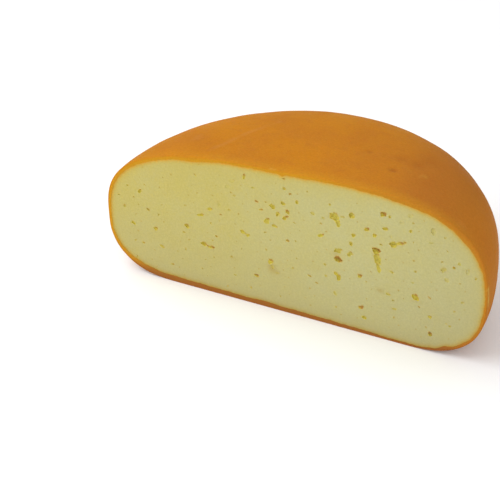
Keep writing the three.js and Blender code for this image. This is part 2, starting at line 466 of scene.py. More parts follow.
class WheelSizes(bpy.types.PropertyGroup):
    """Sizes of the whole wheel."""

    radius: metres("Radius", "Radius at the equator", WHEEL_RADIUS)
    foot_radius: metres("Foot Radius", "Radius of the flat under side", 0.076)
    equator_height: metres("Equator Height", "Height of the widest place", 0.0397)
    height: metres("Height", "Height of the crown", 0.1006)
    corner_power: number("Corner Power", "Squareness of the lower corner", 2.53)
    shoulder_power_out: number("Shoulder Power Out", "Squareness of the shoulder across", 3.42)
    shoulder_power_up: number("Shoulder Power Up", "Squareness of the shoulder upwards", 2.78)
    lean: number("Lean", "Climb of the crown along the cut", 0.0424)


class CoatSettings(bpy.types.PropertyGroup):
    """Sizes and colours of the coat."""

    thickness: metres("Thickness", "Thickness of the coat", 0.0025)
    foot_taper: number("Foot Taper", "Growth of the coat under the foot, towards -X", 0.024)
    side_thinning: metres("Side Thinning", "How much thinner the coat is low down at the +X end", 0.0015)
    edge_round: metres("Edge Round", "How far the cut edge is rounded back", 0.0007)
    unevenness: metres("Unevenness", "Height of the soft waves in the coat", 0.0009)
    orange: colour("Orange", "Main colour", (0.482, 0.18, 0.0125))
    # Deep orange is also the painted shade on the +X side and on the cut edge
    deep_orange: colour("Deep Orange", "Colour of the darker patches", (0.4, 0.139, 0.0195))
    cut_orange: colour("Cut Orange", "Colour of the cut edge", (0.545, 0.252, 0.0155))
    paste_stain: colour("Paste Stain", "Colour of the cut edge next to the paste", (0.6, 0.38, 0.05))
    mark_brown: colour("Mark Brown", "Colour in the press marks", (0.345, 0.112, 0.0165))
    # Painted shade under and along the foot
    foot_brown: colour("Foot Brown", "Colour under the foot", (0.298, 0.106, 0.027))
    end_orange: colour("End Orange", "Colour of the cut edge at the +X end", (0.475, 0.19, 0.019))
    scuff: colour("Scuff", "Colour of dull rubbed places", (0.5, 0.215, 0.055))
    warm_orange: colour("Warm Orange", "Colour of the outside at the +X end", (0.54, 0.18, 0.02))
    # Painted shade at the -X shoulder
    shoulder_orange: colour("Shoulder Orange", "Colour of the outside at the -X end", (0.4, 0.148, 0.008))
    # Also the colour of the painted highlight streak at the +X end
    worn: colour("Worn", "Colour where the coat is worn thin", (0.58, 0.34, 0.06))


class PasteSettings(bpy.types.PropertyGroup):
    """Sizes and colours of the paste."""

    lip: metres("Lip", "How far the paste lies behind the coat's cut edge", 0.00012)
    overlap: metres("Overlap", "How far the paste reaches into the coat", 0.0006)
    waviness: metres("Waviness", "Height of the knife's waves", 0.0003)
    eye_depth: number("Eye Depth", "Depth of the deepest eyes as a share of their width", 0.49)
    eye_jaggedness: number("Eye Jaggedness", "How far an eye's wall strays from an egg", 0.66)
    small_eyes: IntProperty(name="Small Eyes", description="Tries at placing a small eye", default=300)
    small_eye_least: metres("Smallest Eye", "Length of the smallest eyes", 0.0007)
    small_eye_most: metres("Largest Small Eye", "Length of the largest small eyes", 0.0018)
    small_eye_slimness: number("Slimness", "Width of a small eye as a share of its length", 0.62)
    yellow: colour("Yellow", "Main colour", (0.492, 0.462, 0.215))
    deep_yellow: colour("Deep Yellow", "Colour of the denser paste", (0.505, 0.43, 0.125))
    eye_yellow: colour("Eye Yellow", "Colour of the walls of the eyes", (0.57, 0.474, 0.06))
    eye_brown: colour("Eye Brown", "Colour of the shaded walls of the eyes", (0.45, 0.243, 0.05))
    # Also the colour of the painted shade low down and at the +X end
    foot_tan: colour("Foot Tan", "Colour of the paste low down", (0.42, 0.383, 0.188))
    smear: colour("Smear", "Colour of the soft smears", (0.42, 0.32, 0.1))
    dye_strength: number("Dye Strength", "Strength of the coat's dye in the paste next to it", 1.75)
    dye_reach: metres("Dye Reach", "How far the coat's dye soaks into the paste", 0.00105)


class StageSettings(bpy.types.PropertyGroup):
    """Floor and lights."""

    floor_size: metres("Floor Size", "Side of the floor", 8.0)
    floor_colour: colour("Floor Colour", "Colour of the floor", (0.95, 0.95, 0.95))
    sky: number("Sky", "Strength of the even light from all round", 0.72)
    key_power: number("Key Power", "Watts of the large soft light", 12.0)
    fill_power: number("Fill Power", "Watts of the light beside the camera", 3.0)


class CheeseSettings(bpy.types.PropertyGroup):
    """Everything that a user may change."""

    wheel: PointerProperty(type=WheelSizes)
    coat: PointerProperty(type=CoatSettings)
    paste: PointerProperty(type=PasteSettings)
    stage: PointerProperty(type=StageSettings)


# Named inputs of the node trees, each with the setting that fills it
SECTION_INPUTS = {
    "Radius": "wheel.radius",
    "Foot Radius": "wheel.foot_radius",
    "Equator Height": "wheel.equator_height",
    "Height": "wheel.height",
    "Corner Power": "wheel.corner_power",
    "Shoulder Power Out": "wheel.shoulder_power_out",
    "Shoulder Power Up": "wheel.shoulder_power_up",
}
WHEEL_INPUTS = {
    **SECTION_INPUTS,
    "Lean": "wheel.lean",
    "Thickness": "coat.thickness",
    "Foot Taper": "coat.foot_taper",
    "Side Thinning": "coat.side_thinning",
}
COAT_INPUTS = {**WHEEL_INPUTS, "Edge Round": "coat.edge_round", "Unevenness": "coat.unevenness"}
PASTE_INPUTS = {
    **WHEEL_INPUTS,
    "Overlap": "paste.overlap",
    "Lip": "paste.lip",
    "Waviness": "paste.waviness",
    "Jaggedness": "paste.eye_jaggedness",
}

FLOAT = "NodeSocketFloat"
COLOUR = "NodeSocketColor"
GEOMETRY = "NodeSocketGeometry"


class Wire:
    """An output in a node tree. Arithmetic on a wire adds a Math node."""

    def __init__(self, socket):
        self.socket = socket
        self.tree = socket.id_data

    def math(self, operation, *others):
        """A Math node with this wire first."""
        return reckon(self.tree, operation, self, *others)

    def __add__(self, other):
        return self.math("ADD", other)

    def __sub__(self, other):
        return self.math("SUBTRACT", other)

    def __rsub__(self, other):
        return reckon(self.tree, "SUBTRACT", other, self)

    def __mul__(self, other):
        return self.math("MULTIPLY", other)

    def __truediv__(self, other):
        return self.math("DIVIDE", other)

    def __rtruediv__(self, other):
        return reckon(self.tree, "DIVIDE", other, self)

    def __pow__(self, other):
        return self.math("POWER", other)

    __radd__ = __add__
    __rmul__ = __mul__

    def clamp(self):
        """Held between 0 and 1."""
        return node(self.tree, "ShaderNodeClamp", {"Value": self})


def feed(made, key, value):
    """Joins a value, a wire or several wires to one input of a node, by its number, identifier or name."""
    if isinstance(key, int):
        socket = made.inputs[key]
    else:
        socket = next(s for s in made.inputs if key in (s.identifier, s.name))
    for one in value if isinstance(value, list) else [value]:
        if isinstance(one, Wire):
            made.id_data.links.new(one.socket, socket)
        else:
            socket.default_value = one


def add_node(tree, kind, inputs, **settings):
    """Adds a node with its settings and inputs."""
    made = tree.nodes.new(kind)
    for key, value in settings.items():
        setattr(made, key, value)
    for key, value in inputs.items():
        feed(made, key, value)
    return made


def node(tree, kind, inputs=None, output=0, **settings):
    """Adds a node, and gives the wire at one of its outputs, by its number or identifier."""
    made = add_node(tree, kind, inputs or {}, **settings)
    if isinstance(output, int):
        return Wire(made.outputs[output])
    return Wire(next(s for s in made.outputs if s.identifier == output))


def reckon(tree, operation, *values):
    """A Math node."""
    return node(tree, "ShaderNodeMath", dict(enumerate(values)), operation=operation)


def vector_math(operation, first, *others, output="Vector"):
    """A Vector Math node with a wire first."""
    values = dict(enumerate((first, *others)))
    return node(first.tree, "ShaderNodeVectorMath", values, output, operation=operation)


def distance_to(place, point):
    """How far a place is from a point."""
    return vector_math("DISTANCE", place, point, output="Value")


def scaled(vector, factor):
    """A vector made longer or shorter."""
    inputs = {"Vector": vector, "Scale": factor}
    return node(factor.tree, "ShaderNodeVectorMath", inputs, "Vector", operation="SCALE")


def combine(*values):
    """A vector from three values, one of them at least a wire."""
    tree = next(value.tree for value in values if isinstance(value, Wire))
    return node(tree, "ShaderNodeCombineXYZ", dict(enumerate(values)))


def separate(vector):
    """The three values of a vector."""
    made = add_node(vector.tree, "ShaderNodeSeparateXYZ", {0: vector})
    return [Wire(socket) for socket in made.outputs]


def rise(value, low, high, strength=1.0):
    """0 below low, a strength above high and an even S between them."""
    inputs = {"Value": value, "From Min": low, "From Max": high, "To Max": strength}
    return node(value.tree, "ShaderNodeMapRange", inputs, interpolation_type="SMOOTHSTEP")


def fall(value, low, high, strength=1.0):
    """A strength below low, 0 above high and an even S between them."""
    return strength - rise(value, low, high, strength)


def bell(distance, width):
    """1 at no distance, falling away over a width."""
    ratio = distance / width
    return (ratio * ratio * -1.0).math("EXPONENT")


def noise(place, scale, detail=2.0, output="Fac", **inputs):
    """Smooth noise, even about 0.5."""
    inputs = {"Vector": place, "Scale": scale, "Detail": detail, **inputs}
    return node(place.tree, "ShaderNodeTexNoise", inputs, output)


def gapped(place, scale, whole, least):
    """A strength with gaps: a least one in the gaps, and 1 where the noise is high."""
    return least + rise(noise(place, scale), GAP_NOISE, whole) * (1.0 - least)


def mix(tree, factor, first, second, kind="FLOAT", **settings):
    """A blend of two values or colours."""
    ending = {"FLOAT": "Float", "RGBA": "Color"}[kind]
    inputs = {"Factor_Float": factor, f"A_{ending}": first, f"B_{ending}": second}
    return node(tree, "ShaderNodeMix", inputs, f"Result_{ending}", data_type=kind, **settings)


def opaque(rgb):
    """A colour with full alpha."""
    return (*rgb, 1.0)


def blend(factor, first, second):
    """A blend of two colours, each a wire or a plain colour."""
    colours = [one if isinstance(one, Wire) else opaque(one) for one in (first, second)]
    return mix(factor.tree, factor, *colours, kind="RGBA")


def new_tree(name, kind, inputs, outputs):
    """A node tree with named sockets, and the wires of its inputs by name."""
    tree = bpy.data.node_groups.new(name, kind)
    for label, socket in inputs.items():
        tree.interface.new_socket(label, in_out="INPUT", socket_type=socket)
    for label, socket in outputs.items():
        tree.interface.new_socket(label, in_out="OUTPUT", socket_type=socket)
    entry = tree.nodes.new("NodeGroupInput")
    return tree, {label: Wire(entry.outputs[i]) for i, label in enumerate(inputs)}


def finish_tree(tree, *results):
    """Joins the results to the tree's outputs."""
    add_node(tree, "NodeGroupOutput", dict(enumerate(results)))
    return tree


def shared(tree, build, *values):
    """Places a node group in a tree with its inputs in order. A function builds the group the first time."""
    name = build.__name__
    group = bpy.data.node_groups.get(name) or build(name)
    kind = "GeometryNodeGroup" if tree.type == "GEOMETRY" else "ShaderNodeGroup"
    return node(tree, kind, dict(enumerate(values)), node_tree=group)


def share_line(tree):
    """A row of points joined by edges, and the wire of the share along it."""
    line = node(tree, "GeometryNodeMeshLine", {"Count": MERIDIAN_POINTS})
    return line, node(tree, "GeometryNodeInputIndex") / (MERIDIAN_POINTS - 1)


def meridian(name):
    """A group that makes half the wheel's upright section as a curve: X is the radius, Z the height."""
    inputs = dict.fromkeys([*SECTION_INPUTS, "Inset"], FLOAT)
    tree, given = new_tree(name, "GeometryNodeTree", inputs, {"Curve": GEOMETRY})
    line, along = share_line(tree)
    quarter = math.pi / 2
    shoulder_start = FOOT_SHARE + CORNER_SHARE
    corner = ((along - FOOT_SHARE) / CORNER_SHARE).clamp() * quarter
    shoulder = ((along - shoulder_start) / (1 - shoulder_start)).clamp() * quarter
    corner_bend = 2.0 / given["Corner Power"]
    foot = given["Foot Radius"] * (along / FOOT_SHARE).clamp()
    corner_reach = given["Radius"] - given["Foot Radius"] - given["Inset"]
    reach = foot + corner_reach * corner.math("SINE") ** corner_bend
    out = reach * shoulder.math("COSINE") ** (2.0 / given["Shoulder Power Out"])
    below = given["Equator Height"] - given["Inset"]
    above = given["Height"] - given["Equator Height"] - given["Inset"]
    low = given["Equator Height"] - below * corner.math("COSINE") ** corner_bend
    up = low + above * shoulder.math("SINE") ** (2.0 / given["Shoulder Power Up"])
    bent = moved(line, Position=combine(out, 0.0, up))
    return finish_tree(tree, node(tree, "GeometryNodeMeshToCurve", {"Mesh": bent}))


def coat_sections(tree, given):
    """The meridians of the coat's outside and inside."""
    sizes = [given[label] for label in SECTION_INPUTS]
    return [shared(tree, meridian, *sizes, inset) for inset in (0.0, given["Thickness"])]


def at_share(curve, share):
    """Radius and height at a share of a curve's length."""
    inputs = {"Curves": curve, "Factor": share}
    radius, _, height = separate(node(curve.tree, "GeometryNodeSampleCurve", inputs, "Position"))
    return radius, height


def in_coat(given, sections, up, cosine, share):
    """Radius and height at a share of the coat's thickness, which swells and thins from place to place."""
    outer_radius, outer_height = at_share(sections[0], up)
    inner_radius, inner_height = at_share(sections[1], up)
    place = combine(outer_radius * cosine, 0.0, outer_height)
    sunk = 1.0
    for scale, growth in THICKNESS_WAVES:
        sunk = (noise(place, scale) - 0.5) * growth + sunk
    for along, height, radius, growth in COAT_SWELLS:
        distance = distance_to(place, (along * MM, 0.0, height * MM))
        sunk = sunk + bell(distance, radius * MM) * (growth * MM) / given["Thickness"]
    sunk = sunk * share
    radius = outer_radius + (inner_radius - outer_radius) * sunk
    return radius, outer_height + (inner_height - outer_height) * sunk


def seat(given, radius, cosine, sine, height, depth):
    """A place on the turned wheel, with its lean, and with the coat's taper and thin end at a depth in it."""
    x = radius * cosine
    low = (1.0 - height / given["Equator Height"]).clamp()
    taper = x.math("MINIMUM", FULL_TAPER_X) * fall(x, *TAPER_FADE)
    tapered = height - given["Foot Taper"] * taper * low * depth
    leaning = tapered * (1.0 + given["Lean"] * x / given["Height"])
    beside = rise(height, *THIN_END_FROM) * fall(height, *THIN_END_TO)
    end = (x / given["Radius"]).clamp() ** THIN_END_POWER * beside
    return x + given["Side Thinning"] * end * depth, radius * sine, leaning


def grid(tree, columns, rows):
    """A grid of quads, and the wires of the share across and the share up."""
    inputs = {"Size X": 1.0, "Size Y": 1.0, "Vertices X": columns + 1, "Vertices Y": rows + 1}
    across, up, _ = separate(node(tree, "GeometryNodeInputPosition"))
    return node(tree, "GeometryNodeMeshGrid", inputs), across + 0.5, up + 0.5


def store(geometry, name, value, domain="POINT"):
    """Keeps a value on the points or faces under a name."""
    inputs = {"Geometry": geometry, "Name": name, "Value": value}
    return node(geometry.tree, "GeometryNodeStoreNamedAttribute", inputs, domain=domain)


def recall(tree, name, kind="FLOAT"):
    """A value kept under a name."""
    return node(tree, "GeometryNodeInputNamedAttribute", {"Name": name}, data_type=kind)


def moved(geometry, **where):
    """Sets the points' Position, or moves them by an Offset."""
    return node(geometry.tree, "GeometryNodeSetPosition", {"Geometry": geometry, **where})


def merge(geometry):
    """Closes seams and poles."""
    inputs = {"Geometry": geometry, "Distance": MERGE_DISTANCE}
    return node(geometry.tree, "GeometryNodeMergeByDistance", inputs)


def piece_tree(name, sizes, **first):
    """A tree that makes a piece, and the wires of its inputs: the first ones, the sizes and the material."""
    inputs = {**first, **dict.fromkeys(sizes, FLOAT), "Material": "NodeSocketMaterial"}
    return new_tree(name, "GeometryNodeTree", inputs, {"Geometry": GEOMETRY})


def finish_piece(tree, geometry, sharp_angle, material):
    """Shades smooth but for sharp edges, realizes what is instanced and sets the material."""
    angle = node(tree, "GeometryNodeInputMeshEdgeAngle")
    sharp = node(tree, "FunctionNodeCompare", {"A": angle, "B": math.radians(sharp_angle)})
    inputs = {"Geometry": geometry, "Shade Smooth": True}
    smooth = node(tree, "GeometryNodeSetShadeSmooth", inputs)
    inputs = {"Geometry": smooth, "Selection": sharp, "Shade Smooth": False}
    edged = node(tree, "GeometryNodeSetShadeSmooth", inputs, domain="EDGE")
    real = node(tree, "GeometryNodeRealizeInstances", {"Geometry": edged})
    return finish_tree(tree, node(tree, "GeometryNodeSetMaterial", {"Geometry": real, "Material": material}))


def coat_tree():
    """The coat: a grid wrapped over the half wheel's outside, across the cut, and back along its inside."""
    tree, given = piece_tree("Coat", COAT_INPUTS)
    columns = OUTSIDE_COLUMNS + INSIDE_COLUMNS + 2 * CUT_COLUMNS
    outside = OUTSIDE_COLUMNS / columns
    cut = CUT_COLUMNS / columns
    inside = INSIDE_COLUMNS / columns
    sheet, across, up = grid(tree, columns, COAT_ROWS)
    there = (across / outside).clamp()
    back = ((across - outside - cut) / inside).clamp()
    angle = (there - back) * math.pi
    cosine = angle.math("COSINE")
    depth = ((across - outside) / cut).clamp() - ((across - outside - cut - inside) / cut).clamp()
    sheet = store(sheet, "depth", depth)
    radius, height = in_coat(given, coat_sections(tree, given), up, cosine, depth)
    x, y, z = seat(given, radius, cosine, angle.math("SINE"), height, depth)
    outer = (1.0 - depth / EDGE_ROUND_SHARE).clamp() ** 2.0
    rounding = outer * (1.0 - y / EDGE_ROUND_REACH).clamp() * rise(height, *FOOT_EDGE)
    y = y + given["Edge Round"] * rounding + CUT_Y
    shell = merge(moved(sheet, Position=combine(x, y, z)))
    shell = uneven(shell, given["Unevenness"])
    return finish_piece(tree, shell, COAT_SHARP_ANGLE, given["Material"])


def uneven(shell, unevenness):
    """The coat with its soft waves, press marks and crease, the last two also kept for the colour."""
    tree = shell.tree
    place = node(tree, "GeometryNodeInputPosition")
    outward = node(tree, "GeometryNodeInputNormal")
    free = rise(separate(place)[2], *FOOT_EDGE) * (1.0 - recall(tree, "depth"))
    waves = noise(place, LONG_WAVES, 1.0) - 0.5 + (noise(place, SHORT_WAVES) - 0.5) * SHORT_WAVE_SHARE
    swell = waves * unevenness
    dented = 0.0
    for x, y, z, radius, depth in PRESS_MARKS:
        mark = bell(distance_to(place, (x * MM, y * MM + CUT_Y, z * MM)), radius * MM)
        swell = swell - mark * (depth * MM)
        dented = mark * max(0.0, depth) + dented
    crease = line_mask(place, CREASE_POINTS, CREASE_WIDTH)
    swell = swell + crease * (CREASE_HEIGHT * MM)
    shell = store(shell, "crease", crease * CREASE_PALENESS * gapped(place, *CREASE_GAPS))
    shell = store(shell, "dent", dented)
    return moved(shell, Offset=scaled(outward, swell * free))


def line_mask(place, points, width):
    """1 along a line through points in millimetres, falling away to its sides."""
    corners = [Vector(point) * MM + Vector((0, CUT_Y, 0)) for point in points]
    least = None
    for start, end in zip(corners, corners[1:]):
        run = end - start
        from_start = vector_math("SUBTRACT", place, start)
        share = vector_math("DOT_PRODUCT", from_start, run, output="Value") / run.length_squared
        distance = distance_to(from_start, scaled(run, share.clamp()))
        least = least.math("MINIMUM", distance) if least else distance
    return bell(least, width * MM)


def paste_tree():
    """The paste: the wheel inside the coat, less the knife's block and the eyes."""
    tree, given = piece_tree("Paste", PASTE_INPUTS, Eyes=GEOMETRY)
    sections = coat_sections(tree, given)
    share = 1.0 - given["Overlap"] / given["Thickness"]
    sheet, across, up = grid(tree, PASTE_COLUMNS, PASTE_ROWS)
    angle = across * (2 * math.pi)
    cosine = angle.math("COSINE")
    radius, height = in_coat(given, sections, up, cosine, share)
    x, y, z = seat(given, radius, cosine, angle.math("SINE"), height, 1.0)
    wheel = merge(moved(sheet, Position=combine(x, y + CUT_Y, z)))
    inputs = {"Mesh 1": wheel, "Mesh 2": [knife(tree, given), *eye_pockets(tree, given)]}
    cut = node(tree, "GeometryNodeMeshBoolean", inputs, operation="DIFFERENCE", solver="MANIFOLD")

    place = node(tree, "GeometryNodeInputPosition")
    x, _, z = separate(place)
    inputs = {"Target": section_outline(given, sections, share), "Source Position": combine(x, 0.0, z)}
    outline = node(tree, "GeometryNodeProximity", inputs, "Distance", target_element="EDGES")
    cut = store(cut, "rim", outline - given["Overlap"])
    cut = store(cut, "pocket", recall(tree, "hollow"))
    cut = store(cut, "gloom", recall(tree, "shade"))
    smeared = 0.0
    for along, height, half_length, half_height, strength in SMEARS:
        away = vector_math("SUBTRACT", place, (along * MM, 0.0, height * MM))
        away = vector_math("MULTIPLY", away, (1 / (half_length * MM), 0.0, 1 / (half_height * MM)))
        smeared = bell(vector_math("LENGTH", away, output="Value"), 1.0) * strength + smeared
    cut = store(cut, "smear", smeared)
    return finish_piece(tree, cut, PASTE_SHARP_ANGLE, given["Material"])


def section_outline(given, sections, share):
    """The outline of the paste on the cut, as edges in the plane of X and Z."""
    tree = sections[0].tree
    line, up = share_line(tree)
    sides = []
    for side in (1.0, -1.0):
        radius, height = in_coat(given, sections, up, side, share)
        x, _, z = seat(given, radius, side, 0.0, height, 1.0)
        sides.append(moved(line, Position=combine(x, 0.0, z)))
    return node(tree, "GeometryNodeJoinGeometry", {"Geometry": sides})


def knife(tree, given):
    """A block in front of the cut, its back a little wavy."""
    width, depth, height = (size * WHEEL_RADIUS for size in KNIFE_SIZE)
    inputs = {
        "Size": (width, depth, height),
        "Vertices X": round(width / KNIFE_SPACING),
        "Vertices Z": round(height / KNIFE_SPACING),
    }
    block = node(tree, "GeometryNodeMeshCube", inputs)
    stretched = vector_math("MULTIPLY", node(tree, "GeometryNodeInputPosition"), KNIFE_STRETCH)
    wave = noise(stretched, KNIFE_WAVES, 3.0) - 0.5
    back = given["Lip"] + CUT_Y - depth / 2 + wave * given["Waviness"]
    return moved(block, Offset=combine(0.0, back, height / 2 - KNIFE_DROP))


def eye_pockets(tree, given):
    """The eyes as jagged eggs, the listed ones in sets, because neighbours may run into each other."""
    index = node(tree, "GeometryNodeInputIndex")
    listed = index.math("LESS_THAN", len(LISTED_EYES))
    turns = index.math("MODULO", EYE_SETS)
    groups = [(listed * turns.math("COMPARE", turn, 0.5), LISTED_EYE_DETAIL) for turn in range(EYE_SETS)]
    groups.append((1.0 - listed, SMALL_EYE_DETAIL))
    tilt = combine(0.0, recall(tree, "tilt"), 0.0)
    size = recall(tree, "size", "FLOAT_VECTOR")
    spread = {
        "Points": given["Eyes"],
        "Rotation": node(tree, "FunctionNodeEulerToRotation", {"Euler": tilt}),
        "Scale": size,
    }
    half_length, _, half_width = separate(size)
    sets = []
    for chosen, detail in groups:
        egg = node(tree, "GeometryNodeMeshIcoSphere", {"Radius": 1.0, "Subdivisions": detail})
        inputs = {**spread, "Selection": chosen, "Instance": egg}
        eggs = node(tree, "GeometryNodeInstanceOnPoints", inputs)
        real = node(tree, "GeometryNodeRealizeInstances", {"Geometry": eggs})
        place = node(tree, "GeometryNodeInputPosition")
        out = vector_math("SUBTRACT", place, recall(tree, "centre", "FLOAT_VECTOR"))
        jags = noise(place, EYE_JAGS, Roughness=EYE_JAG_ROUGHNESS) * 2.0 - 1.0
        nicks = noise(place, EYE_NICKS, 1.0) * (2.0 * EYE_NICK_SHARE) - EYE_NICK_SHARE
        jagged = moved(real, Offset=scaled(out, (jags + nicks) * given["Jaggedness"]))
        jagged = store(jagged, "hollow", recall(tree, "tint"), "FACE")
        side = vector_math("DOT_PRODUCT", out, SHADED_WALL, output="Value") * 2.0 / (half_length + half_width)
        edge = 1.0 - recall(tree, "gloom") * 2.0
        shade = rise(side, edge - SHADE_SOFTNESS, edge + SHADE_SOFTNESS) * recall(tree, "breadth")
        sets.append(store(jagged, "shade", shade, "FACE"))
    return sets


def share_of(steps):
    """What is left of a number without its whole part."""
    return steps - math.floor(steps)


def wheel_reach(sizes, height):
    """Half the width of the wheel at a height."""
    if height > sizes.equator_height:
        rise_share = (height - sizes.equator_height) / (sizes.height - sizes.equator_height)
        left = max(0, 1 - rise_share**sizes.shoulder_power_up)
        return sizes.radius * left ** (1 / sizes.shoulder_power_out)
    fall_share = (sizes.equator_height - height) / sizes.equator_height
    left = max(0, 1 - fall_share**sizes.corner_power)
    return sizes.foot_radius + (sizes.radius - sizes.foot_radius) * left ** (1 / sizes.corner_power)


def small_eyes(settings):
    """The small eyes that lie inside the paste and clear of the listed eyes."""
    sizes = settings.wheel
    paste = settings.paste
    found = []
    for n in range(1, paste.small_eyes + 1):
        along = (2 * share_of(n * STEP_ALONG) - 1) * sizes.radius
        height = share_of(n * STEP_UP) * sizes.height
        inside = EYE_FREE_RIM < height < sizes.height - EYE_FREE_RIM
        inside = inside and abs(along) < wheel_reach(sizes, height) - EYE_FREE_RIM
        gaps = (math.hypot(x * MM - along, z * MM - height) for x, z, *_ in LISTED_EYES)
        if inside and min(gaps) > EYE_SPACING:
            growth = share_of(n * STEP_SIZE) ** 2
            length = paste.small_eye_least + (paste.small_eye_most - paste.small_eye_least) * growth
            width = length * paste.small_eye_slimness
            tilt = 180 * share_of(n * STEP_SIZE + height / MM)
            found.append((along, height, length, width, tilt, SMALL_EYE_GLOOM))
    return found


def eye_points(settings):
    """A mesh with a point for each eye, and what shapes and colours the eye kept on it."""
    paste = settings.paste
    eyes = [(*(size * MM for size in eye[:4]), *eye[4:]) for eye in LISTED_EYES]
    kept = {name: [] for name in ("centre", "size", "tilt", "gloom", "tint", "breadth")}
    for along, height, length, width, tilt, gloom in eyes + small_eyes(settings):
        deep = width * paste.eye_depth * (1 - math.exp(-EYE_DEEPENING * gloom))
        breadth = min(1, width / FULL_TINT_WIDTH)
        # Painted brown shade on the eye's shaded wall, more on the smallest eyes
        painted_shade = (gloom - SHADE_GLOOM) * SHADE_GAIN + (1 - breadth) * SMALL_EYE_SHADE
        kept["centre"].append((along, CUT_Y + paste.lip + EYE_SINK * deep, height))
        kept["size"].append((length / 2, deep, width / 2))
        kept["tilt"].append((-math.radians(tilt),))
        kept["gloom"].append((max(0, min(1, painted_shade)),))
        kept["tint"].append((min(1, gloom / FULL_TINT_GLOOM) * breadth,))
        kept["breadth"].append((LEAST_SHADE + (1 - LEAST_SHADE) * breadth,))
    mesh = bpy.data.meshes.new("eyes")
    mesh.from_pydata(kept["centre"], [], [])
    for name, rows in kept.items():
        kind, field = ("FLOAT_VECTOR", "vector") if len(rows[0]) == 3 else ("FLOAT", "value")
        values = [value for row in rows for value in row]
        mesh.attributes.new(name, kind, "POINT").data.foreach_set(field, values)
    return mesh


def grow(name, mesh, tree, sizes, settings, material):
    """An object at the origin with a plain mesh, made by a node tree from the settings."""
    piece = bpy.data.objects.new(name, mesh)
    bpy.context.scene.collection.objects.link(piece)
    modifier = piece.modifiers.new(name, "NODES")
    modifier.node_group = tree
    values = {label: attrgetter(path)(settings) for label, path in sizes.items()}
    values["Material"] = material
    for item in tree.interface.items_tree:
        if item.in_out == "INPUT" and item.name in values:
            modifier[item.identifier] = values[item.name]
    graph = bpy.context.evaluated_depsgraph_get()
    made = bpy.data.meshes.new_from_object(piece.evaluated_get(graph), depsgraph=graph)
    piece.modifiers.clear()
    piece.data = made
    made.name = name
    return piece


def place_piece(piece):
    """Seats a finished piece on the body, in place of the solid."""
    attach(piece, BODY)
    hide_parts(NODE)


def object_place(tree):
    """The place on the object itself."""
    return node(tree, "ShaderNodeTexCoord", output="Object")


def mottle(name):
    """A group that makes soft uneven patches: a mask between 0 and 1."""
    inputs = dict.fromkeys(("Scale", "Detail", "Low", "High"), FLOAT)
    tree, given = new_tree(name, "ShaderNodeTree", inputs, {"Mask": FLOAT})
    place = object_place(tree)
    drift = noise(place, given["Scale"] * MOTTLE_DRIFT, 1.0, "Color")
    bent = vector_math("MULTIPLY_ADD", drift, MOTTLE_BEND, place)
    cloud = noise(bent, given["Scale"], given["Detail"])
    return finish_tree(tree, rise(cloud, given["Low"], given["High"]))


def grain(name):
    """A group that makes fine grain: a height between 0 and 1 from a coarse and a fine noise."""
    inputs = dict.fromkeys(("Coarse", "Fine", "Share"), FLOAT)
    tree, given = new_tree(name, "ShaderNodeTree", inputs, {"Height": FLOAT})
    place = object_place(tree)
    coarse = noise(place, given["Coarse"])
    fine = noise(place, given["Fine"], 3.0)
    return finish_tree(tree, mix(tree, given["Share"], coarse, fine))


def speckle(name):
    """A group that makes a colour a little lighter and darker from place to place."""
    inputs = {"Color": COLOUR, "Scale": FLOAT, "Amount": FLOAT}
    tree, given = new_tree(name, "ShaderNodeTree", inputs, {"Color": COLOUR})
    light = 1.0 + (noise(object_place(tree), given["Scale"], 3.0) - 0.5) * given["Amount"]
    return finish_tree(tree, mix(tree, 1.0, given["Color"], light, "RGBA", blend_type="MULTIPLY"))


def attribute(tree, name):
    """A value kept on the mesh."""
    return node(tree, "ShaderNodeAttribute", output="Fac", attribute_name=name)


def new_material(name):
    """A material, its tree and its shader."""
    material = bpy.data.materials.new(name)
    material.use_nodes = True
    tree = material.node_tree
    return material, tree, tree.nodes["Principled BSDF"]


def finish_shader(shader, base, roughness, height, bump, flesh):
    """Joins a colour, a roughness and a bump to a shader, and sets the light within and the shine."""
    inputs = {"Height": height, "Distance": bump, "Strength": 1.0}
    feed(shader, "Base Color", shared(base.tree, speckle, base, *SPECKLE))
    feed(shader, "Roughness", roughness)
    feed(shader, "Normal", node(height.tree, "ShaderNodeBump", inputs))
    labels = ("Subsurface Weight", "Subsurface Radius", "Subsurface Scale", "Specular IOR Level")
    for label, value in zip(labels, flesh):
        shader.inputs[label].default_value = value


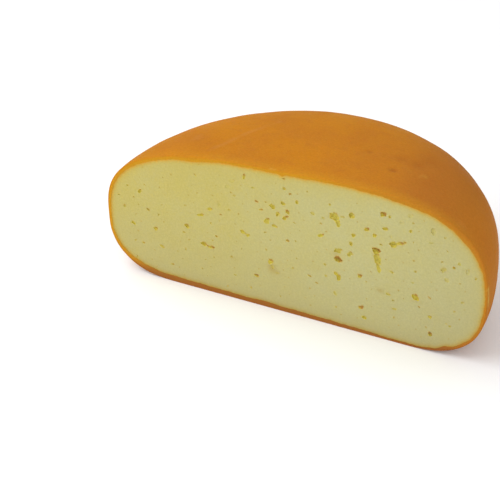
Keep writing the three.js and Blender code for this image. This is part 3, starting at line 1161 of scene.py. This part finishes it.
def coat_material(coat):
    """Satin orange coat: softly mottled, brighter on its cut edge, with painted shade on its +X side, at its
    -X shoulder and along the cut edge, painted brown shade under the foot, and a painted highlight streak at
    the +X end.
    """
    material, tree, shader = new_material("orange_coat")
    place = object_place(tree)
    along, inward, height = separate(place)
    patches = shared(tree, mottle, *COAT_PATCHES)
    specks = shared(tree, mottle, *COAT_SPECKS)
    flecks = shared(tree, mottle, *COAT_FLECKS)
    scuffs = shared(tree, mottle, *COAT_SCUFFS) * COAT_SCUFF_STRENGTH + attribute(tree, "crease")
    base = blend(patches * COAT_PATCH_STRENGTH, coat.orange, coat.deep_orange)
    base = blend(specks * COAT_SPECK_STRENGTH, base, coat.deep_orange)
    base = blend(flecks * COAT_FLECK_STRENGTH, base, coat.scuff)
    # Painted shade on the +X side
    base = blend(rise(along, *SHADED_SIDE) * (1.0 - rise(along, *SIDE_SHADE_EASING)), base, coat.deep_orange)
    base = blend(rise(along, *WARM_END), base, coat.warm_orange)
    # Painted shade on the -X shoulder
    base = blend(fall(along, *SHADED_SHOULDER), base, coat.shoulder_orange)
    base = blend(scuffs.clamp(), base, coat.scuff)
    base = blend((attribute(tree, "dent") * DENT_STRENGTH).clamp(), base, coat.mark_brown)

    depth = attribute(tree, "depth")
    dull = rise(along, *DULL_END)
    edge = blend(dull, coat.cut_orange, coat.end_orange)
    base = blend(fall(inward - CUT_Y, *CUT_SIDE) * (EDGE_TINT + rise(along, *EDGE_TINT_MORE)), base, edge)
    edge = blend(rise(along, *SHADED_EDGE) * fall(along, *LIT_EDGE), edge, coat.deep_orange)
    base = blend(rise(depth, *CUT_EDGE), base, edge)
    base = blend(rise(depth, *STAINED_EDGE), base, coat.paste_stain)

    # Painted shade along the foot, darker towards the floor
    foot = fall(height, *FOOT_SHADE) + fall(height, *FOOT_SHADE_WIDE) + dull * fall(height, *END_FOOT_SHADE)
    base = blend(foot.clamp(), base, coat.foot_brown)
    # Worn places, and a painted highlight streak at the +X end
    whole = gapped(place, *LINE_GAPS)
    for points, width, strength in WORN_AND_HIGHLIGHT_LINES:
        base = blend(line_mask(place, points, width) * whole * strength, base, coat.worn)

    plain, patch_change, scuff_change = COAT_ROUGHNESS
    roughness = plain + patches * patch_change + scuffs * scuff_change
    finish_shader(shader, base, roughness, shared(tree, grain, *COAT_GRAIN), COAT_BUMP, COAT_FLESH)
    return material


def soaked(base, dye, highlight):
    """A colour with orange dye in it: it loses most of its blue and some of its green, and may be lightened
    by painted light.
    """
    red = (dye * highlight).math("EXPONENT")
    green = (dye * (highlight * GREEN_HIGHLIGHT - GREEN_LOSS)).math("EXPONENT")
    blue = (dye * -1.0).math("EXPONENT")
    return vector_math("MULTIPLY", base, combine(red, green, blue))


def paste_material(paste):
    """Pale yellow paste: faintly mottled and knife-marked, dyed next to the coat and deeper in the eyes, with
    a tan band along the foot, painted shade towards the bottom, at the +X end and on the eyes' shaded walls,
    and painted light on the dyed fringe near the top.
    """
    material, tree, shader = new_material("pale_paste")
    place = object_place(tree)
    along, _, height = separate(place)
    patches = shared(tree, mottle, *PASTE_PATCHES)
    curds = shared(tree, mottle, *PASTE_CURDS)
    dense = fall(along, *YELLOWER_MINUS_X) + patches * PASTE_PATCH_STRENGTH + curds * PASTE_CURD_STRENGTH
    dense = dense + noise(place, PASTE_CRUMB) * PASTE_CRUMB_STRENGTH - PALENESS
    base = blend(dense.clamp(), paste.yellow, paste.deep_yellow)

    rim = attribute(tree, "rim")
    for scale, detail in RIM_WAVES:
        rim = rim - (noise(place, scale, detail) - 0.5) * RIM_WANDER
    base = blend(fall(rim, *DENSE_RIM), base, paste.deep_yellow)
    far = rise(along, *FAR_END)
    foot = fall(height, *PASTE_FOOT)
    # A tan band along the foot, and painted shade towards the bottom and the +X end
    tan = foot * FOOT_TAN + fall(height, *LOW_PASTE) * LOW_SHADE + far * FAR_SHADE
    base = blend(tan, base, paste.foot_tan)
    dye = (rim / -paste.dye_reach).math("EXPONENT") * (paste.dye_strength * (1.0 - foot * FOOT_DYE_LOSS))
    dye = dye + (rim / -FAINT_DYE_REACH).math("EXPONENT") * FAINT_DYE
    # Painted light on the dyed fringe, strongest near the top
    base = soaked(base, dye, rise(height, *TOP_HIGHLIGHT) * (1.0 - far) + far * FAR_HIGHLIGHT)

    pocket = attribute(tree, "pocket")
    base = blend(attribute(tree, "smear"), base, paste.smear)
    base = blend(pocket, base, paste.eye_yellow)
    # Painted brown shade on the eyes' shaded walls
    base = blend(attribute(tree, "gloom"), base, paste.eye_brown)

    strokes = noise(vector_math("MULTIPLY", place, STROKE_STRETCH), STROKES)
    surface = mix(tree, STROKE_SHARE, shared(tree, grain, *PASTE_GRAIN), strokes)
    plain, patch_change, eye_change = PASTE_ROUGHNESS
    roughness = plain + patches * patch_change + pocket * eye_change
    finish_shader(shader, base, roughness, surface, PASTE_BUMP, PASTE_FLESH)
    return material


def floor_material(stage):
    """Plain pale floor."""
    material, _, shader = new_material("pale_floor")
    feed(shader, "Base Color", opaque(stage.floor_colour))
    feed(shader, "Roughness", FLOOR_ROUGHNESS)
    return material


def lay_floor(scene, stage):
    """A square floor under the cheese."""
    half = stage.floor_size / 2
    corners = [(-half, -half, 0), (half, -half, 0), (half, half, 0), (-half, half, 0)]
    mesh = bpy.data.meshes.new("floor")
    mesh.from_pydata(corners, [], [(0, 1, 2, 3)])
    mesh.materials.append(floor_material(stage))
    floor = bpy.data.objects.new("floor", mesh)
    scene.collection.objects.link(floor)


def soft_light(scene, name, power, place, side):
    """A square area light that looks at the cheese."""
    lamp = bpy.data.lights.new(name, "AREA")
    lamp.energy = power
    lamp.size = side
    light = bpy.data.objects.new(name, lamp)
    light.location = place
    light.rotation_mode = "QUATERNION"
    light.rotation_quaternion = (-Vector(place)).to_track_quat("-Z", "Y")
    scene.collection.objects.link(light)


def light_stage(scene, stage):
    """Even light from all round, a large soft light above on the left and a weak one beside the camera."""
    world = bpy.data.worlds.new("studio")
    world.use_nodes = True
    sky = world.node_tree.nodes["Background"]
    sky.inputs["Color"].default_value = (1.0, 1.0, 1.0, 1.0)
    sky.inputs["Strength"].default_value = stage.sky
    scene.world = world
    soft_light(scene, "key", stage.key_power, *KEY_LIGHT)
    soft_light(scene, "fill", stage.fill_power, *FILL_LIGHT)
    scene.view_settings.view_transform = "Standard"


def aim_camera(scene, wheel):
    """The camera, level but for a slight roll, looking down on the cut face from the right."""
    axis_foot = Vector((0, CUT_Y, 0))
    azimuth = math.radians(VIEW_AZIMUTH)
    elevation = math.radians(VIEW_ELEVATION)
    flat = math.cos(elevation)
    back = Vector((math.sin(azimuth) * flat, -math.cos(azimuth) * flat, math.sin(elevation)))
    lens = bpy.data.cameras.new("camera")
    lens.lens = FOCAL_LENGTH
    camera = bpy.data.objects.new("camera", lens)
    camera.location = axis_foot + (Vector(VIEW_CENTRE) + back * VIEW_DISTANCE) * wheel.radius
    look = axis_foot + Vector(VIEW_TARGET) * wheel.radius - camera.location
    roll = Quaternion((0, 0, 1), math.radians(VIEW_ROLL))
    camera.rotation_mode = "QUATERNION"
    camera.rotation_quaternion = look.to_track_quat("-Z", "Y") @ roll
    scene.collection.objects.link(camera)
    scene.camera = camera


class CHEESE_OT_coat(bpy.types.Operator):
    """Makes the orange coat, cut with the wheel"""

    bl_idname = "cheese.coat"
    bl_label = "Coat"

    def execute(self, context):
        settings = context.scene.cheese
        material = coat_material(settings.coat)
        mesh = bpy.data.meshes.new("coat")
        place_piece(grow("coat", mesh, coat_tree(), COAT_INPUTS, settings, material))
        return {"FINISHED"}


class CHEESE_OT_paste(bpy.types.Operator):
    """Makes the paste with its cut face and eyes"""

    bl_idname = "cheese.paste"
    bl_label = "Paste"

    def execute(self, context):
        settings = context.scene.cheese
        material = paste_material(settings.paste)
        mesh = eye_points(settings)
        place_piece(grow("paste", mesh, paste_tree(), PASTE_INPUTS, settings, material))
        return {"FINISHED"}


class CHEESE_OT_stage(bpy.types.Operator):
    """Makes the floor, the lights and the camera"""

    bl_idname = "cheese.stage"
    bl_label = "Stage"

    def execute(self, context):
        settings = context.scene.cheese
        lay_floor(context.scene, settings.stage)
        light_stage(context.scene, settings.stage)
        aim_camera(context.scene, settings.wheel)
        return {"FINISHED"}


class CHEESE_PT_build(bpy.types.Panel):
    """Lists the steps and what a user may change"""

    bl_idname = "CHEESE_PT_build"
    bl_label = "Half Wheel of Cheese"
    bl_space_type = "VIEW_3D"
    bl_region_type = "UI"
    bl_category = "Cheese"

    def draw(self, context):
        settings = context.scene.cheese
        steps = (
            (CHEESE_OT_coat, (settings.wheel, settings.coat)),
            (CHEESE_OT_paste, (settings.paste,)),
            (CHEESE_OT_stage, (settings.stage,)),
        )
        for step, groups in steps:
            box = self.layout.box()
            box.operator(step.bl_idname)
            for group in groups:
                for name in group.__annotations__:
                    box.prop(group, name)


CLASSES = (
    WheelSizes,
    CoatSettings,
    PasteSettings,
    StageSettings,
    CheeseSettings,
    CHEESE_OT_coat,
    CHEESE_OT_paste,
    CHEESE_OT_stage,
    CHEESE_PT_build,
)


def register():
    """Makes the settings, the operators and the panel known to Blender."""
    for cls in CLASSES:
        bpy.utils.register_class(cls)
    bpy.types.Scene.cheese = PointerProperty(type=CheeseSettings)


def unregister():
    """Takes them away again."""
    del bpy.types.Scene.cheese
    for cls in reversed(CLASSES):
        bpy.utils.unregister_class(cls)


def main():
    """Builds the cheese and its stage."""
    register()
    bpy.ops.cheese.coat()
    bpy.ops.cheese.paste()
    bpy.ops.cheese.stage()


if __name__ == "__main__":
    main()
